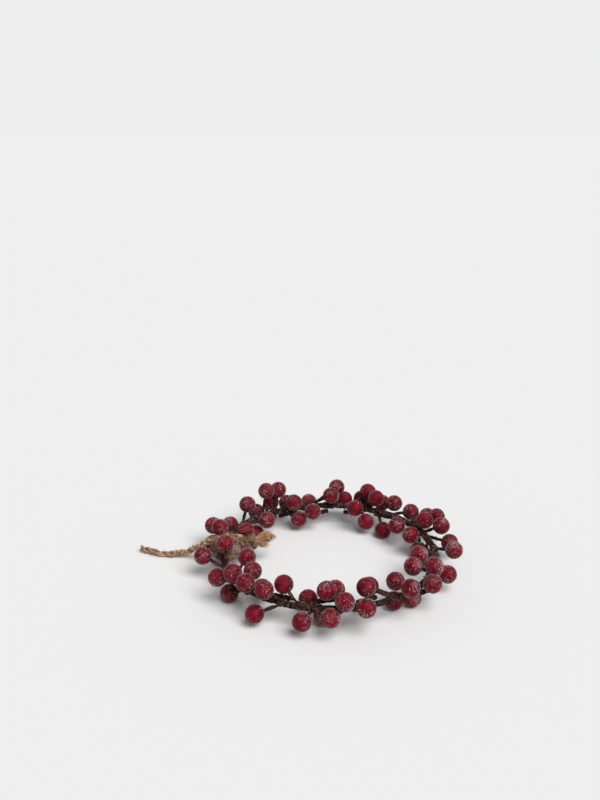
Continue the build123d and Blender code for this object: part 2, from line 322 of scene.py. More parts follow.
def hair_lines(lines, chance, count, longest, lift):
    """Loose fibres that start on the yarns and stand a little off them, and stay above the table."""
    hairs = []
    for _ in range(count):
        line = lines[chance.randrange(len(lines))]
        end = len(line) // hair_end_share
        index = chance.randrange(end, len(line) - end)
        way = Vector(line[index + 1] - line[index - 1]).normalized()
        out = any_way(chance)
        out = (out - way * out.dot(way)).normalized()
        if chance.random() < 0.5:
            way = -way
        start = Vector(line[index]) + out * yarn_radius * 0.8
        length = chance.uniform(0.35, 1.0) * longest
        rise = chance.uniform(0.15, 1.0) * lift
        curl = way.cross(out) * chance.uniform(-0.35, 0.35) * length
        hair = []
        for share in hair_shares:
            lifted = out * (rise * share * (1.6 - 0.6 * share))
            spot = start + way * (length * share) + lifted + curl * share * share
            spot.z = max(spot.z, hair_radius)
            hair.append(spot)
        hairs.append(hair)
    return hairs


spun_radius = 0.29 * mm


def twine_piece(name, route, finish, hairiness, chance, node):
    """A length of twine along a route, as stranded yarns with loose hairs."""
    yarns = yarn_lines(route, chance)
    strands = []
    widths = []
    for yarn in yarns:
        strands.extend(strand_lines(yarn, chance))
    for strand in strands:
        swell = np.sin(np.arange(len(strand)) * chance.uniform(0.2, 0.5) + chance.uniform(0, math.tau))
        widths.append(spun_radius * (chance.uniform(0.75, 1.2) + 0.2 * swell))
    tubes = tube_object("strands", strands, widths, 1)
    hairs = tube_object("hairs", hair_lines(yarns, chance, **hairiness), hair_radius, 0)
    piece = joined(name, [tubes, hairs])
    piece.data.materials.append(finish)
    return dressed(piece, node)


print("a hair is", round(2 * hair_radius / mm, 2), "mm thick")

# %% [markdown]
# The long tail leaves the knot, goes over the hoop and lies out on the table. It is a cord with a
# free end, so its route is a short list of given points, the same as in the measured model.

# %% Twine: the long tail
chance = random.Random(11)
tail_route = [
    (-0.0475, 0.0099, 0.0153),
    (-0.0548, 0.0083, 0.0163),
    (-0.0625, 0.0070, 0.0158),
    (-0.0698, 0.0098, 0.0104),
    (-0.0775, 0.0150, 0.0038),
    (-0.0875, 0.0150, 0.0018),
    (-0.0970, 0.0170, 0.0018),
    (-0.1052, 0.0213, 0.0029),
]
tail_line = smooth_route("tail_route", tail_route)
tail_length = float(np.linalg.norm(np.diff(tail_line, axis=0), axis=1).sum())
tail_hairs = {"count": 420, "longest": 3.6 * mm, "lift": 1.0 * mm}
twine_tail = twine_piece("twine_tail_rope", tail_line, jute, tail_hairs, chance, "twine_tail")
print("tail length", round(tail_length / mm, 1), "mm, faces", len(twine_tail.data.polygons))

# %% [markdown]
# The winding goes once and a half round the hoop, and both its ends run to the knot on the inner
# side. It could be a plain spiral, but it is the same twine, so the same yarns follow its route.
# It is more worn than the tail, so its hairs are longer.

# %% Twine: the winding
hoop_radius = 57 * mm
hoop_height = 12 * mm
winding_middle = math.radians(179)
winding_radius = 3.55 * mm
winding_pitch = 4.15 * mm
winding_half_turns = 3
knot_middle = math.radians(171)
knot_reach = 11.2 * mm
knot_lift = 1.0 * mm
knot_radius = 4.8 * mm
up_way = Vector((0, 0, 1))


def outward(angle):
    """The way out from the ring's middle at an angle."""
    return Vector((math.cos(angle), math.sin(angle), 0))


out_way = outward(winding_middle)
on_way = outward(winding_middle + math.pi / 2)
winding_centre = out_way * hoop_radius + up_way * hoop_height
knot_centre = outward(knot_middle) * (hoop_radius - knot_reach) + up_way * (hoop_height + knot_lift)


def winding_point(half_turns):
    """A point of the winding, counted from under the hoop."""
    turn = math.pi * (half_turns - 0.5)
    place = out_way * math.cos(turn) + up_way * math.sin(turn)
    slide = winding_pitch * (winding_half_turns / 4 - half_turns / 2)
    return winding_centre + place * winding_radius + on_way * slide


points_per_half_turn = 6
bend_reach = 5.5 * mm
lower_bend_lift = 0.6 * mm
turn_points = []
for step in range(winding_half_turns * points_per_half_turn + 1):
    turn_points.append(winding_point(step / points_per_half_turn))
lower_bend = turn_points[0] - out_way * bend_reach + up_way * lower_bend_lift
upper_bend = turn_points[-1] - out_way * bend_reach
knot_low = knot_centre - up_way * knot_radius / 2
winding_route = [knot_low, lower_bend, *turn_points, upper_bend, knot_centre]
winding_line = smooth_route("winding_route", winding_route)
winding_hairs = {"count": 700, "longest": 7 * mm, "lift": 3 * mm}
# The winding takes the jute with painted shade.
twine_winding = twine_piece("twine_winding_rope", winding_line, brown_painted_shade_jute, winding_hairs, chance,
                            "twine_winding")
print("winding faces", len(twine_winding.data.polygons))

# %% [markdown]
# The knot is pulled tight, so only crossing loops of twine show. A line that comes from the tail and
# winds three times through itself, as an overhand knot does, gives that lump. Its last loop goes
# round the short end.

# %% Twine: the knot
frayed_aim = Vector((-0.0305, 0.0110, 0.0145))
frayed_way = (frayed_aim - knot_centre).normalized()
frayed_side = frayed_way.cross(up_way).normalized()
frayed_over = frayed_side.cross(frayed_way)
knot_size = 0.98 * mm
knot_depth = 1.7
knot_steps = 60
knot_steps_laid = 56
tail_start = Vector(tail_route[0])
knot_route = [tail_start.lerp(Vector(tail_route[1]), 0.2), tail_start]
for step in range(knot_steps_laid):
    turn = math.tau * step / knot_steps
    across = math.sin(turn) + 2 * math.sin(2 * turn)
    along = math.cos(turn) - 2 * math.cos(2 * turn)
    over = -math.sin(3 * turn) * knot_depth
    place = frayed_way * across + up_way * along + frayed_side * over
    knot_route.append(knot_centre + place * knot_size)
loop_radius = 2.5 * mm
loop_start_turn = 2.2
loop_start_reach = 3.4 * mm
loop_slide = 0.16 * mm
loop_steps = 15
steps_per_loop = 11
for step in range(loop_steps):
    turn = loop_start_turn + math.tau * step / steps_per_loop
    place = frayed_side * math.cos(turn) + frayed_over * math.sin(turn)
    reach = loop_start_reach + loop_slide * step
    knot_route.append(knot_centre + frayed_way * reach + place * loop_radius)
knot_line = smooth_route("knot_route", knot_route)
knot_hairs = {"count": 480, "longest": 4 * mm, "lift": 1.8 * mm}
# The knot takes the jute with painted shade.
twine_knot = twine_piece("twine_knot_rope", knot_line, brown_painted_shade_jute, knot_hairs, chance, "twine_knot")
print("knot faces", len(twine_knot.data.polygons))

# %% [markdown]
# The short end has come undone: its three yarns open, and their fibres spread in crooked locks.
# Each fibre is a thin tube of its own. The fibres of a lock bend together, and each strays a little.
# The long tail and this tuft are the two free ends of one twine.

# %% Twine: the frayed end
neck_start = knot_centre + frayed_way * knot_radius / 2
neck_length = 4.1 * mm
lock_ends = [
    (7.6, 3.0, -1.0),
    (9.0, 1.0, 1.4),
    (7.4, -1.2, -1.4),
    (5.6, -3.0, 0.6),
    (4.8, 3.0, 1.6),
    (8.6, 0.2, 0.0),
]
fibres_per_lock = 130
lock_bend_size = 1.4 * mm
fibre_stray = (0.3, 1.9)
fibre_curl = 0.6 * mm
fibre_length = (0.5, 1.08)
fibre_thickness = (0.16, 0.08)
neck_share = 0.4
opening_share = 0.2
fibre_shares = (0, 0.2, 0.38, 0.54, 0.7, 0.86, 1)
fibres = []
fibre_widths = []
for ahead, higher, aside in lock_ends:
    lock_end = frayed_way * ahead * mm + frayed_over * higher * mm + frayed_side * aside * mm
    lock_bend = any_way(chance) * lock_bend_size
    for _ in range(fibres_per_lock):
        stray = any_way(chance) * chance.uniform(*fibre_stray) * mm
        curl = any_way(chance) * fibre_curl
        phase = chance.uniform(0, math.tau)
        length = chance.uniform(*fibre_length)
        fibre = []
        for share in fibre_shares:
            reached = share * length
            middle = neck_start + frayed_way * neck_length * min(1, reached / neck_share)
            opened = max(0, reached - opening_share) / (1 - opening_share)
            bent = lock_bend * math.sin(math.pi * opened) + curl * math.sin(reached * 9 + phase)
            fibre.append(middle + lock_end * opened + bent + stray * (0.75 + 0.35 * opened))
        fibres.append(np.array(fibre))
        taper = np.linspace(*fibre_thickness, len(fibre_shares)) * mm
        fibre_widths.append(taper * chance.uniform(0.6, 1.3))
tuft = tube_object("tuft", fibres, fibre_widths, 0)
twine_tuft = joined("twine_frayed_tuft", [tuft])
# The tuft takes the jute with painted light.
twine_tuft.data.materials.append(orange_painted_lit_jute)
dressed(twine_tuft, "twine_frayed_end")
print("frayed fibres", len(fibres))

# %% [markdown]
# The stage is a pale table. It is far wider than the picture, so that its edge lies near the
# horizon, and it hardly shines.

# %% The table
table_size = 12
table_grey = 0.87
bpy.ops.object.select_all(action="DESELECT")
bpy.ops.mesh.primitive_plane_add(size=table_size, location=(0, 0, 0))
table = bpy.context.object
table.name = "table"
pale, nodes, links, shader = new_finish("pale_table")
shader.inputs["Base Color"].default_value = (table_grey, table_grey, table_grey, 1)
shader.inputs["Roughness"].default_value = 0.9
shader.inputs["Specular IOR Level"].default_value = 0.1
table.data.materials.append(pale)
print("table of", table_size, "m")

# %% [markdown]
# The light is even and soft. The sun stands high, in front and to the right, and it is made very
# wide, so shadows lie under the ring and have no edge. The sky fills them in. Both together light a
# colour about as it is written. Behind the table, and where something mirrors it, the world is a
# pale backdrop.

# %% Sun, sky and backdrop
sun_turn = (math.radians(30), math.radians(24), 0)
sun_energy = 2.85
sun_width = math.radians(42)
sky_strength = 0.27
backdrop_grey = 0.855
bpy.ops.object.light_add(type="SUN", rotation=sun_turn)
sun = bpy.context.object
sun.data.energy = sun_energy
sun.data.angle = sun_width

world = bpy.data.worlds.new("studio")
bpy.context.scene.world = world
world.use_nodes = True
nodes = world.node_tree.nodes
links = world.node_tree.links
sky = nodes["Background"]
sky.inputs["Color"].default_value = (1, 1, 1, 1)
sky.inputs["Strength"].default_value = sky_strength
backdrop = nodes.new("ShaderNodeBackground")
backdrop.inputs["Color"].default_value = (backdrop_grey, backdrop_grey, backdrop_grey, 1)
light_path = nodes.new("ShaderNodeLightPath")
mirrored = nodes.new("ShaderNodeMath")
mirrored.operation = "MAXIMUM"
links.new(light_path.outputs["Is Glossy Ray"], mirrored.inputs[0])
links.new(light_path.outputs["Is Transmission Ray"], mirrored.inputs[1])
seen = nodes.new("ShaderNodeMath")
seen.operation = "MAXIMUM"
links.new(light_path.outputs["Is Camera Ray"], seen.inputs[0])
links.new(mirrored.outputs["Value"], seen.inputs[1])
chooser = nodes.new("ShaderNodeMixShader")
links.new(seen.outputs["Value"], chooser.inputs["Fac"])
links.new(sky.outputs["Background"], chooser.inputs[1])
links.new(backdrop.outputs["Background"], chooser.inputs[2])
links.new(chooser.outputs["Shader"], nodes["World Output"].inputs["Surface"])
print("sun", sun_energy, "and sky", sky_strength)

# %% [markdown]
# The hoop, bundles and stems are wire wrapped in brown paper tape. The tape winds on a slant and
# each turn overlaps the last, which leaves a small step. A Displace modifier with a saw-toothed
# banded texture on the tube's own map raises exactly that step, and a cloud texture creases it.

# %% Tape: the wrapped step and creases
# One band of the texture is this wide on a map.
band_period = 0.31416
tape_steps = bpy.data.textures.new("tape_steps", "WOOD")
tape_steps.wood_type = "BANDNOISE"
tape_steps.noise_basis_2 = "SAW"
tape_steps.turbulence = 1.2
tape_steps.noise_scale = 0.25
paper_creases = bpy.data.textures.new("paper_creases", "CLOUDS")
paper_creases.noise_scale = 1.3 * mm
paper_creases.noise_depth = 2


def tape_wrapped(piece, turns_along, step, crease):
    """Raises the slanting steps of wound tape and the creases of its paper on a tube."""
    layer = piece.data.uv_layers.active.data
    values = np.zeros(len(layer) * 2, np.float32)
    layer.foreach_get("uv", values)
    values = values.reshape(-1, 2)
    values[:, 0] *= band_period * turns_along
    values[:, 1] *= band_period
    layer.foreach_set("uv", values.ravel())
    bpy.context.view_layer.objects.active = piece
    for texture, strength, space in ((tape_steps, step, "UV"), (paper_creases, crease, "LOCAL")):
        modifier = piece.modifiers.new(texture.name, "DISPLACE")
        modifier.texture = texture
        modifier.texture_coords = space
        modifier.strength = strength
        modifier.mid_level = 0.5
        bpy.ops.object.modifier_apply(modifier=modifier.name)
    return piece


print("tape textures:", tape_steps.name, paper_creases.name)

# %% [markdown]
# The paper is a dull, blotchy dark brown with pale dust on it. One noise gives the blotches, and
# a finer one both the dust and the roughness of the paper.

# %% Tape finish
tape, nodes, links, shader = new_finish("brown_paper_tape")
coordinates = nodes.new("ShaderNodeTexCoord")
blotches = noise_at(nodes, links, coordinates.outputs["Object"], scale=260, detail=5)
browns = colour_steps(nodes, links, blotches, [
    (0.32, (0.009, 0.0035, 0.0033)),
    (0.52, (0.031, 0.0125, 0.0115)),
    (0.72, (0.08, 0.036, 0.032)),
])
dust = noise_at(nodes, links, coordinates.outputs["Object"], scale=900, detail=3)
dust_mask = nodes.new("ShaderNodeMapRange")
dust_mask.inputs["From Min"].default_value = 0.56
dust_mask.inputs["From Max"].default_value = 0.74
dust_mask.inputs["To Max"].default_value = 0.4
links.new(dust, dust_mask.inputs["Value"])
dusted = nodes.new("ShaderNodeMix")
dusted.data_type = "RGBA"
dusted.inputs["B"].default_value = (0.36, 0.2, 0.175, 1)
links.new(dust_mask.outputs["Result"], dusted.inputs["Factor"])
links.new(browns, dusted.inputs["A"])
links.new(dusted.outputs["Result"], shader.inputs["Base Color"])
roughened(nodes, links, shader, dust, strength=0.5, distance=0.2 * mm)
shader.inputs["Roughness"].default_value = 0.75
shader.inputs["Specular IOR Level"].default_value = 0.06
print("finish made:", tape.name)

# %% [markdown]
# The bare hoop shows between the sprays. A torus is added at its size, and the tape is raised
# on it, a turn for about every four millimetres.

# %% The taped hoop
hoop_tape_radius = 1.5 * mm
hoop_tape_turns = 90
bpy.ops.object.select_all(action="DESELECT")
bpy.ops.mesh.primitive_torus_add(major_segments=256, minor_segments=20, major_radius=hoop_radius,
                                 minor_radius=hoop_tape_radius, location=(0, 0, hoop_height),
                                 generate_uvs=True)
hoop = bpy.context.object
bpy.ops.object.transform_apply(location=True, rotation=True, scale=True)
tape_wrapped(hoop, hoop_tape_turns, step=0.26 * mm, crease=0.25 * mm)
hoop.name = "hoop_wrapped_tape"
hoop.data.materials.append(tape)
bpy.ops.object.shade_smooth()
dressed(hoop, "hoop_tape")
print("hoop faces", len(hoop.data.polygons))

# %% [markdown]
# The measured model holds every stem wire and berry as its own solid. A copy of a node is cut
# into its loose pieces to read where they are: a wire gives a stem's line, a ball gives a centre.

# %% Reading the sprays from the measured model
def loose_pieces(node):
    """The points of each separate solid in a node, read from a copy."""
    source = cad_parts[node]
    copy = source.copy()
    copy.data = source.data.copy()
    bpy.context.scene.collection.objects.link(copy)
    bpy.ops.object.select_all(action="DESELECT")
    copy.select_set(True)
    bpy.context.view_layer.objects.active = copy
    bpy.ops.object.mode_set(mode="EDIT")
    bpy.ops.mesh.select_all(action="SELECT")
    bpy.ops.mesh.remove_doubles(threshold=1e-6)
    bpy.ops.mesh.separate(type="LOOSE")
    bpy.ops.object.mode_set(mode="OBJECT")
    found = []
    for part in bpy.context.selected_objects:
        found.append(np.array([vertex.co for vertex in part.data.vertices]))
    bpy.ops.object.delete()
    return sorted(found, key=lambda points: tuple(points.mean(0)))


def wire_ends(points):
    """The two ends of a straight wire."""
    centre = points.mean(0)
    way = np.linalg.svd(points - centre, full_matrices=False)[2][0]
    reach = (points - centre) @ way
    return Vector(centre + way * reach.min()), Vector(centre + way * reach.max())


spray_names = sorted(name[:-len("_berries")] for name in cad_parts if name.endswith("_berries"))
sprays = {}
for name in spray_names:
    balls = loose_pieces(name + "_berries")
    centres = [Vector((ball.min(0) + ball.max(0)) / 2) for ball in balls]
    stems = []
    for wire in loose_pieces(name + "_wires"):
        first, last = wire_ends(wire)
        centre = min(centres, key=lambda spot: min((spot - first).length, (spot - last).length))
        start = max((first, last), key=lambda spot: (spot - centre).length)
        stems.append((start, centre))
    sprays[name] = stems
berry_radius = float(max((ball.max(0) - ball.min(0)).max() for ball in balls)) / 2
berry_count = sum(len(stems) for stems in sprays.values())
print("sprays", len(sprays), "berries", berry_count, "berry radius", round(berry_radius / mm, 2), "mm")

# %% [markdown]
# A berry is a foam ball with a crimson skin, rolled in clear grains like coarse sugar. The skin is
# mottled and finely pebbled, and a faint sheen pales it towards the rim.

# %% Berry skin finish
crimson, nodes, links, shader = new_finish("crimson_skin")
coordinates = nodes.new("ShaderNodeTexCoord")
mottle = noise_at(nodes, links, coordinates.outputs["Object"], scale=420, detail=4)
reds = colour_steps(nodes, links, mottle, [
    (0.36, (0.1, 0.0005, 0.007)),
    (0.5, (0.17, 0.0007, 0.011)),
    (0.64, (0.29, 0.0011, 0.018)),
])
links.new(reds, shader.inputs["Base Color"])
pebbles = noise_at(nodes, links, coordinates.outputs["Object"], scale=2200)
roughened(nodes, links, shader, pebbles, strength=0.5, distance=0.2 * mm)
shader.inputs["Roughness"].default_value = 0.4
shader.inputs["Specular IOR Level"].default_value = 0.08
bloom = nodes.new("ShaderNodeMapRange")
bloom.inputs["From Min"].default_value = 0.35
bloom.inputs["From Max"].default_value = 0.65
bloom.inputs["To Min"].default_value = 0.1
bloom.inputs["To Max"].default_value = 0.3
links.new(mottle, bloom.inputs["Value"])
links.new(bloom.outputs["Result"], shader.inputs["Sheen Weight"])
shader.inputs["Sheen Roughness"].default_value = 0.22
shader.inputs["Sheen Tint"].default_value = (1, 0.88, 0.88, 1)
print("finish made:", crimson.name)

# %% [markdown]
# A clear grain shows the red under it, and a few grains glint white. Each grain knows how white it
# is. It also knows the way out of its berry and takes most of its shading from that, with a strong
# sheen: where the ball turns away the frost goes pale, as in the photograph.

# %% Frost finish
frost, nodes, links, shader = new_finish("frost_grains")
whiteness = nodes.new("ShaderNodeAttribute")
whiteness.attribute_name = "grain_white"
pinks = colour_steps(nodes, links, whiteness.outputs["Fac"], [
    (0.0, (0.025, 0.0003, 0.003)),
    (0.6, (0.07, 0.001, 0.007)),
    (0.78, (0.19, 0.02, 0.03)),
    (0.9, (0.5, 0.24, 0.24)),
    (1.0, (0.95, 0.8, 0.78)),
])
links.new(pinks, shader.inputs["Base Color"])
facet = nodes.new("ShaderNodeNewGeometry")
outward_way = nodes.new("ShaderNodeAttribute")
outward_way.attribute_name = "outward"
softened = nodes.new("ShaderNodeMix")
softened.data_type = "VECTOR"
softened.inputs["Factor"].default_value = 0.7
links.new(facet.outputs["Normal"], softened.inputs["A"])
links.new(outward_way.outputs["Vector"], softened.inputs["B"])
even = nodes.new("ShaderNodeVectorMath")
even.operation = "NORMALIZE"
links.new(softened.outputs["Result"], even.inputs[0])
links.new(even.outputs["Vector"], shader.inputs["Normal"])
shader.inputs["Roughness"].default_value = 0.25
shader.inputs["Specular IOR Level"].default_value = 0.2
shader.inputs["Sheen Weight"].default_value = 1.0
shader.inputs["Sheen Roughness"].default_value = 0.5
shader.inputs["Sheen Tint"].default_value = (1, 0.86, 0.86, 1)
print("finish made:", frost.name)

# %% [markdown]
# A picture of frost on a ball would look flat at its rim, so the grains are real. One small
# crystal is modelled from a cone with four sides, and copied thousands of times, so it has few faces.

# %% Frost grains
grain_radius = 0.18 * mm
bpy.ops.object.select_all(action="DESELECT")
bpy.ops.mesh.primitive_cone_add(vertices=4, radius1=grain_radius, depth=1.5 * grain_radius)
grain = bpy.context.object
bpy.ops.object.mode_set(mode="EDIT")
bpy.ops.mesh.select_all(action="SELECT")
bpy.ops.transform.vertex_random(offset=0.04 * mm, seed=5)
bpy.ops.mesh.quads_convert_to_tris()
bpy.ops.object.mode_set(mode="OBJECT")
grain_points = np.array([vertex.co for vertex in grain.data.vertices])
grain_faces = np.array([list(face.vertices) for face in grain.data.polygons])
bpy.ops.object.delete()


def grains_object(name, spots, sizes, clearnesses, chance):
    """One mesh of many crystals, each turned its own way; a clearer one is less likely to look white."""
    all_points = []
    all_faces = []
    whites = []
    for index, (spot, size, clearness) in enumerate(zip(spots, sizes, clearnesses)):
        turn = np.array(Matrix.Rotation(chance.uniform(0, math.tau), 3, any_way(chance)))
        white = chance.random() ** clearness
        swelling = 0.85 + 0.35 * white ** 3
        shape = np.array([chance.uniform(0.7, 1.3) for _ in range(3)]) * size * swelling
        all_points.append((grain_points * shape) @ turn.T + np.array(spot))
        all_faces.append(grain_faces + index * len(grain_points))
        whites += [white] * len(grain_points)
    mesh = bpy.data.meshes.new(name)
    mesh.from_pydata(np.concatenate(all_points).tolist(), [], np.concatenate(all_faces).tolist())
    mesh.attributes.new("grain_white", "FLOAT", "POINT").data.foreach_set("value", whites)
    mesh.materials.append(frost)
    grains = bpy.data.objects.new(name, mesh)
    bpy.context.scene.collection.objects.link(grains)
    return grains


print("one grain has", len(grain_faces), "faces")

# %% [markdown]
# The ball starts as an icosphere. It is pressed in a little where the stem enters, and a cloud
# texture makes it lumpy. Its frost is thicker in a few patches. Five berries are modelled, from
# nearly clear to thickly frosted.

# %% One frosted berry
frost_thickness = 0.14 * mm
grain_layer = 0.12 * mm
ball_radius = berry_radius - frost_thickness
pressed_below = -0.978 * ball_radius
pressed_depth = 0.35 * mm
lump_height = 0.22 * mm
patch_count = 4
bare_below = -0.97
thin_frost = 0.35
clear_between = 2.2
crust_whitening = 1.7
grain_sizes = (0.5, 0.6, 0.7, 0.85, 1.15)
foam_lumps = bpy.data.textures.new("foam_lumps", "CLOUDS")
foam_lumps.noise_scale = 4 * mm


def frosted_berry(name, grain_count, clearness, seed):
    """A berry at the origin whose stem comes from below."""
    chance = random.Random(seed)
    bpy.ops.object.select_all(action="DESELECT")
    bpy.ops.mesh.primitive_ico_sphere_add(subdivisions=5, radius=ball_radius)
    ball = bpy.context.object
    bpy.ops.object.mode_set(mode="EDIT")
    bpy.ops.mesh.select_mode(type="VERT")
    bpy.ops.mesh.select_all(action="DESELECT")
    bpy.ops.object.mode_set(mode="OBJECT")
    for vertex in ball.data.vertices:
        vertex.select = bool(vertex.co.z < pressed_below)
    bpy.ops.object.mode_set(mode="EDIT")
    bpy.ops.transform.translate(value=(0, 0, pressed_depth))
    bpy.ops.mesh.select_all(action="DESELECT")
    bpy.ops.object.mode_set(mode="OBJECT")
    modifier = ball.modifiers.new("foam_lumps", "DISPLACE")
    modifier.texture = foam_lumps
    modifier.texture_coords = "LOCAL"
    modifier.strength = lump_height
    bpy.ops.object.modifier_apply(modifier=modifier.name)
    bpy.ops.object.shade_smooth()
    ball.data.materials.append(crimson)
    patches = [any_way(chance) for _ in range(patch_count)]
    spots = []
    sizes = []
    clearnesses = []
    while len(spots) < grain_count:
        way = any_way(chance)
        crusted = max(0, max(way.dot(patch) for patch in patches)) ** 4
        if way.z < bare_below or chance.random() > thin_frost + (1 - thin_frost) * crusted:
            continue
        spots.append(way * (ball_radius + chance.uniform(0, grain_layer)))
        clearnesses.append(clearness * (clear_between - crust_whitening * crusted))
        sizes.append(chance.choice(grain_sizes))
    grains = grains_object("grains", spots, sizes, clearnesses, chance)
    return joined(name, [ball, grains])


berry_looks = ((2500, 2.6), (2500, 1.75), (2600, 1.25), (2800, 0.9), (3200, 0.52))
berry_models = [frosted_berry("berry_model", *look, seed) for seed, look in enumerate(berry_looks, 3)]
print("berry models", len(berry_models), "faces", [len(model.data.polygons) for model in berry_models])

# %% [markdown]
# Each spray gets copies of the modelled berries, turned by chance so that no two show the same
# face, with the pressed-in spot towards the stem. Some sprays of the ring are frostier than others.

# %% Berries on their sprays
chance = random.Random(29)
spray_frost = (0, 1, 2, 2, 2, 2, 3, 1, 1, 2, 2, 4, 4, 1, 3)
frost_changes = (-1, 0, 0, 1)
for (name, stems), frostiness in zip(sprays.items(), spray_frost):
    copies = []
    for start, centre in stems:
        level = frostiness + chance.choice(frost_changes)
        model = berry_models[min(len(berry_models) - 1, max(0, level))]
        berry = bpy.data.objects.new("berry", model.data.copy())
        bpy.context.scene.collection.objects.link(berry)
        towards = (centre - start).to_track_quat("Z", "Y").to_matrix().to_4x4()
        spin = Matrix.Rotation(chance.uniform(0, math.tau), 4, "Z")
        berry.data.transform(Matrix.Translation(centre) @ towards @ spin)
        ways = np.array([vertex.co - centre for vertex in berry.data.vertices])
        ways /= np.linalg.norm(ways, axis=1, keepdims=True)
        outward_ways = berry.data.attributes.new("outward", "FLOAT_VECTOR", "POINT")
        outward_ways.data.foreach_set("vector", ways.ravel())
        copies.append(berry)
    dressed(joined(name + "_frosted_berries", copies), name + "_berries")
for model in berry_models:
    bpy.data.objects.remove(model)
print("frosted berries in place on", len(sprays), "sprays")

# %% [markdown]
# Each stem leaves its berry straight, bends where it meets the hoop and lies along it beside the
# others to the end of the bundle, where tape binds them and a cut tail stands off. A plain thick
# tube would do for the bundle from afar, but close by one sees the single stems, so each is laid.

# %% Places beside the hoop
def on_hoop(angle, side, off):
    """A point beside the hoop: an angle round it, a side of its section, a distance off its middle."""
    out = hoop_radius + off * math.cos(side)
    return Vector((out * math.cos(angle), out * math.sin(angle), hoop_height + off * math.sin(side)))


def hoop_place(point):
    """The angle round the hoop, the side and the distance off its middle at which a point lies."""
    out = math.hypot(point[0], point[1]) - hoop_radius
    up = point[2] - hoop_height
    return math.atan2(point[1], point[0]), math.atan2(up, out), math.hypot(out, up)


bundle_radius = 2.25 * mm
shell_thickness = 0.02 * mm


def bundle_span(node):
    """The first and last angle that a spray's bundle covers on the hoop."""
    points = np.array([vertex.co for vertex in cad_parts[node].data.vertices])
    off = np.hypot(np.hypot(points[:, 0], points[:, 1]) - hoop_radius, points[:, 2] - hoop_height)
    shell = points[np.abs(off - bundle_radius) < shell_thickness]
    middle = math.atan2(shell[:, 1].mean(), shell[:, 0].mean())
    turns = (np.arctan2(shell[:, 1], shell[:, 0]) - middle + math.pi) % math.tau - math.pi
    return middle + turns.min(), middle + turns.max()


spans = {name: bundle_span(name + "_stems") for name in spray_names}
for name, span in spans.items():
    print(name, "bundle from", *(round(math.degrees(angle)) for angle in span), "degrees")

# %% [markdown]
# A stem's line is led by points: on its berry, short of the hoop, and then every two degrees along
# the hoop. It is thickest just before it meets the hoop, and pressed thin where it lies.

# %% Stems that bend onto the hoop
stem_depth_in_berry = 0.4 * mm
stem_bend_reach = 3.2 * mm
laid_off = 1.42 * mm
laid_step = math.radians(2)
laid_twist = 0.2
trial_step = 0.1 * mm
trial_steps = range(-20, 90)
line_step = 0.3 * mm


def stem_line(start, centre, last_angle, chance):
    """A stem's line from its berry to the hoop and on along it to the end of the bundle."""
    way = (start - centre).normalized()
    trials = [start + way * (trial_step * step) for step in trial_steps]
    root = min(trials, key=lambda point: hoop_place(point)[2])
    near_berry = centre + way * (berry_radius - stem_depth_in_berry)
    leaving = root - way * stem_bend_reach
    root_angle = hoop_place(root)[0]
    root_angle += math.tau * round((last_angle - root_angle) / math.tau)
    side = hoop_place(leaving)[1]
    twist = chance.uniform(-laid_twist, laid_twist)
    points = [near_berry, near_berry.lerp(leaving, 0.5), leaving]
    angle = root_angle + laid_step / 2
    while angle < last_angle:
        points.append(on_hoop(angle, side, laid_off))
        side += twist
        angle += laid_step
    points.append(on_hoop(last_angle, side, laid_off))
    return evenly(smooth_route("stem", points), line_step)


stem_radius = 0.95 * mm
laid_radius = 0.52 * mm
pressing_off = 3.4 * mm
pressing_length = 1.4 * mm
thickest_off = 3 * mm
thinning_length = 5 * mm


def stem_widths(line, chance):
    """The radius of a stem at each point of its line."""
    off = np.array([hoop_place(point)[2] for point in line])
    laid = np.clip((pressing_off - off) / pressing_length, 0, 1)
    swollen = np.clip(1 - (off - thickest_off) / thinning_length, 0, 1)
    bare = stem_radius * (0.86 + 0.16 * swollen)
    uneven = 1 + 0.06 * np.sin(np.arange(len(line)) * 0.4 + chance.uniform(0, 6))
    return (bare * (1 - laid) + laid_radius * laid) * uneven


def taped_tube(line, widths, turn_length, step, crease, detail=4):
    """One tube along a line, wrapped in tape."""
    length = float(np.linalg.norm(np.diff(line, axis=0), axis=1).sum())
    turns = max(2, round(length / turn_length))
    return tape_wrapped(tube_object("tube", [line], [widths], detail), turns, step, crease)


print("stems are", round(2 * stem_radius / mm, 2), "mm thick, and", round(2 * laid_radius / mm, 2),
      "mm where they lie on the hoop")

# %% [markdown]
# Tape binds the end of a bundle, and thin threads wind loosely round all of it. A binding is a tube
# on the hoop's own line. A thread is a spiral whose points stray by chance.

# %% Bindings and threads
def hoop_line(first, last, step):
    """Points along the hoop's middle."""
    angles = np.linspace(first, last, max(4, int((last - first) * hoop_radius / step)))
    return np.array([on_hoop(angle, 0, 0) for angle in angles])


binding_radius = 1.95 * mm
binding_share = 0.45
longest_binding = 6 * mm


def binding_tube(last_angle, length):
    """The tape that binds the end of a bundle."""
    line = hoop_line(last_angle - length / hoop_radius, last_angle + line_step / hoop_radius, line_step)
    share = np.linspace(0, 1, len(line))
    widths = binding_radius * (0.9 + 0.1 * np.minimum(1, 6 * np.minimum(share, 1 - share)))
    return taped_tube(line, widths, turn_length=3 * mm, step=0.35 * mm, crease=0.4 * mm, detail=6)


threads_per_bundle = 2
points_per_thread_turn = 6
thread_lifts = (0, 0, 0.1, 0.3, 0.8)


